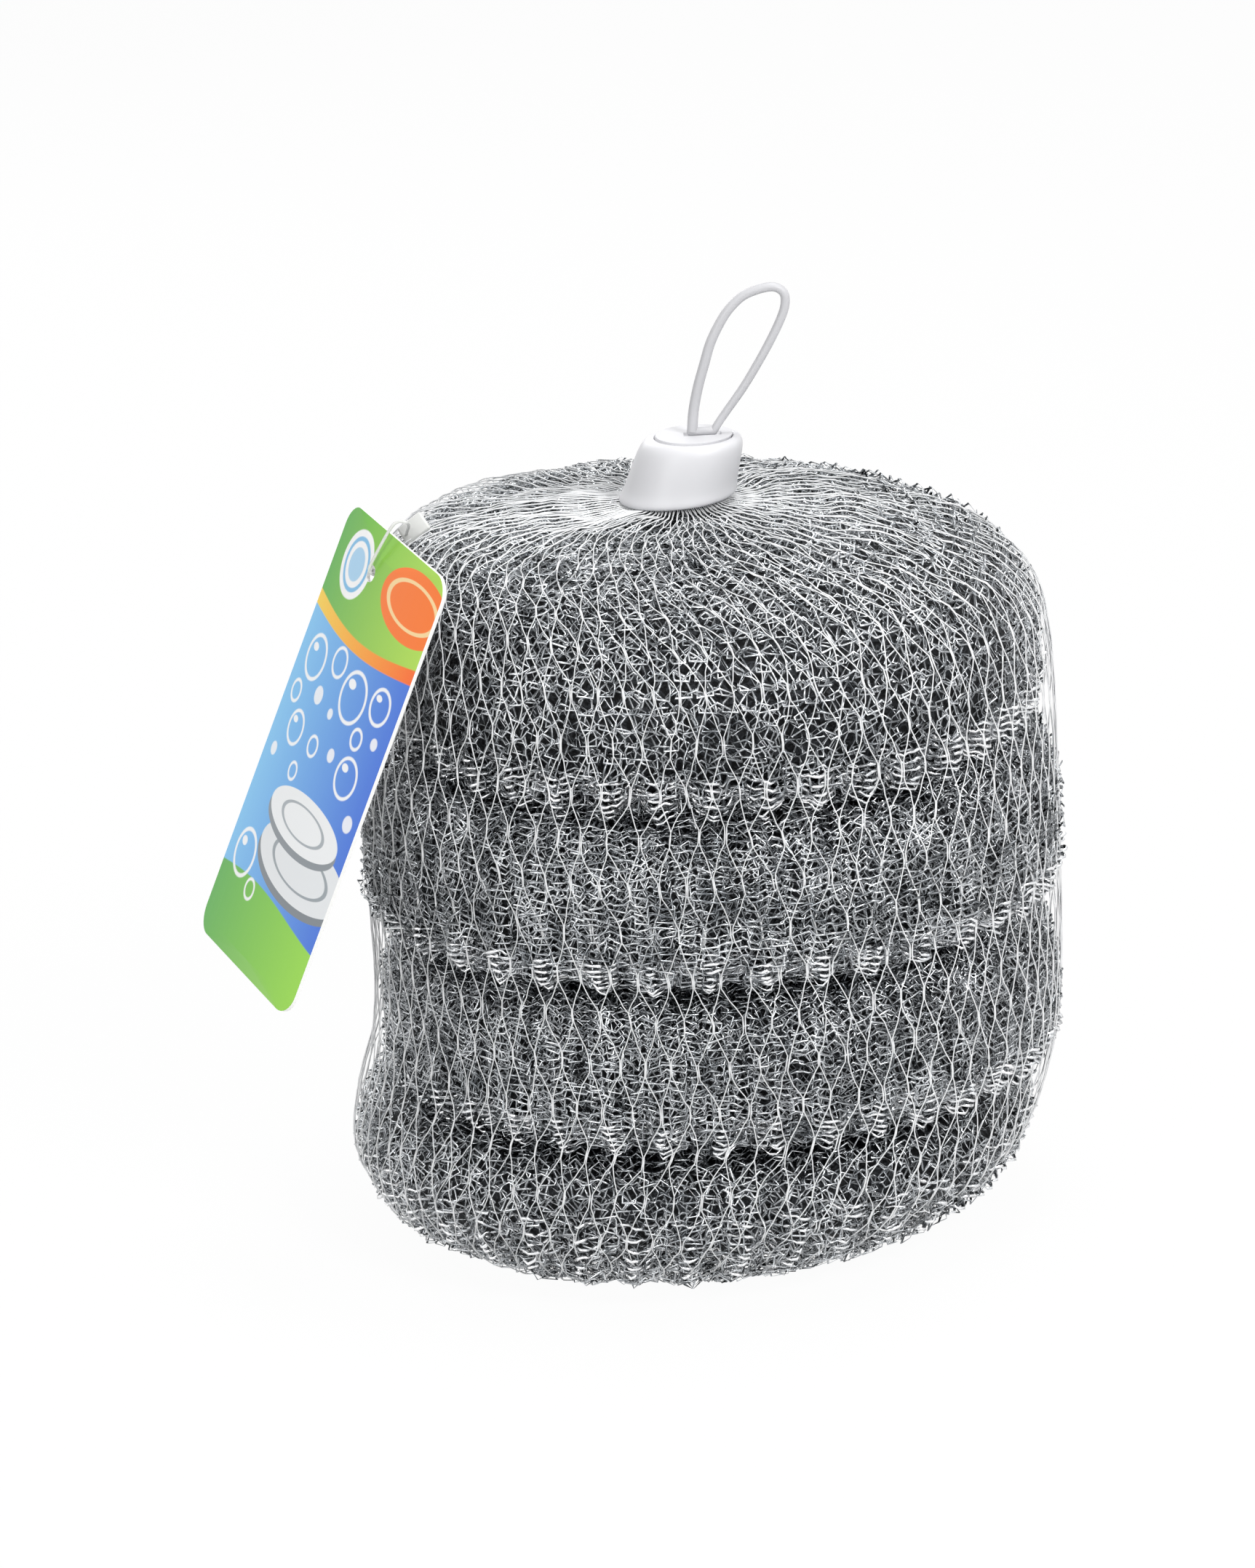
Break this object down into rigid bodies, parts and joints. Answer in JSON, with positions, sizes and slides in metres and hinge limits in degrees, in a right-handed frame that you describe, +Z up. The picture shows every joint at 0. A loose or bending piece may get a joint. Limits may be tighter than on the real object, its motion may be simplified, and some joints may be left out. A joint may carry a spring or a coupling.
{
  "type": "pot scrubber pack",
  "caption": "Stack of knitted steel scourers in a gathered white net bag, with a moulded clip, a hang loop and a swing tag.",
  "frame": {"origin": "on the floor under the middle of the stack, on the flat underside of the bag beside its weld", "axes": "+Z up through the stack and the clip; -Y is the side that faces the buyer; +X to the right seen from there"},
  "size_m": [0.1128, 0.0926, 0.1242],
  "materials": {
    "knitted_steel": "bright flat wire, knitted",
    "staple_wire": "drawn wire",
    "net_yarn": "knitted polyethylene yarn",
    "clip_plastic": "moulded polyethylene, satin",
    "loop_plastic": "moulded polyethylene, smooth",
    "nylon": "natural nylon",
    "printed_card": "laminated printed card"
  },
  "bodies": {
    "pack": {"net_bag": "net_yarn", "clip_collar": "clip_plastic", "loop_plug": "clip_plastic", "tag_fastener": "nylon"},
    "loop": {"hang_loop": "loop_plastic"},
    "tag": {"tag_card": "printed_card"},
    "scourer_1": {"scourer_1": "knitted_steel", "scourer_1_tie": "staple_wire"},
    "scourer_2": {"scourer_2": "knitted_steel", "scourer_2_tie": "staple_wire"},
    "scourer_3": {"scourer_3": "knitted_steel", "scourer_3_tie": "staple_wire"},
    "scourer_4": {"scourer_4": "knitted_steel", "scourer_4_tie": "staple_wire"}
  },
  "joints": [
    {"name": "loop_fold", "type": "hinge", "parent": "pack", "child": "loop", "pos_m": [0.0014, 0, 0.10312], "axis": [1, 0, 0], "range_deg": [-40, 40], "stiffness_Nm_per_rad": 0.002},
    {"name": "tag_swing", "type": "hinge", "parent": "pack", "child": "tag", "pos_m": [-0.03974, -0.01238, 0.0899], "axis": [-0.8257, -0.4198, 0.3768], "range_deg": [-25, 25]},
    {"name": "scourer_1_turn", "type": "hinge", "parent": "pack", "child": "scourer_1", "pos_m": [-0.00268, 0, 0.0104], "axis": [0, 0, 1], "range_deg": [-12, 12], "stiffness_Nm_per_rad": 0.02},
    {"name": "scourer_2_turn", "type": "hinge", "parent": "pack", "child": "scourer_2", "pos_m": [0.0015, 0, 0.0313], "axis": [0, 0, 1], "range_deg": [-12, 12], "stiffness_Nm_per_rad": 0.02},
    {"name": "scourer_3_turn", "type": "hinge", "parent": "pack", "child": "scourer_3", "pos_m": [0.00119, 0, 0.0545], "axis": [0, 0, 1], "range_deg": [-12, 12], "stiffness_Nm_per_rad": 0.02},
    {"name": "scourer_4_turn", "type": "hinge", "parent": "pack", "child": "scourer_4", "pos_m": [0.00242, 0, 0.0798], "axis": [0, 0, 1], "range_deg": [-12, 12], "stiffness_Nm_per_rad": 0.02}
  ]
}
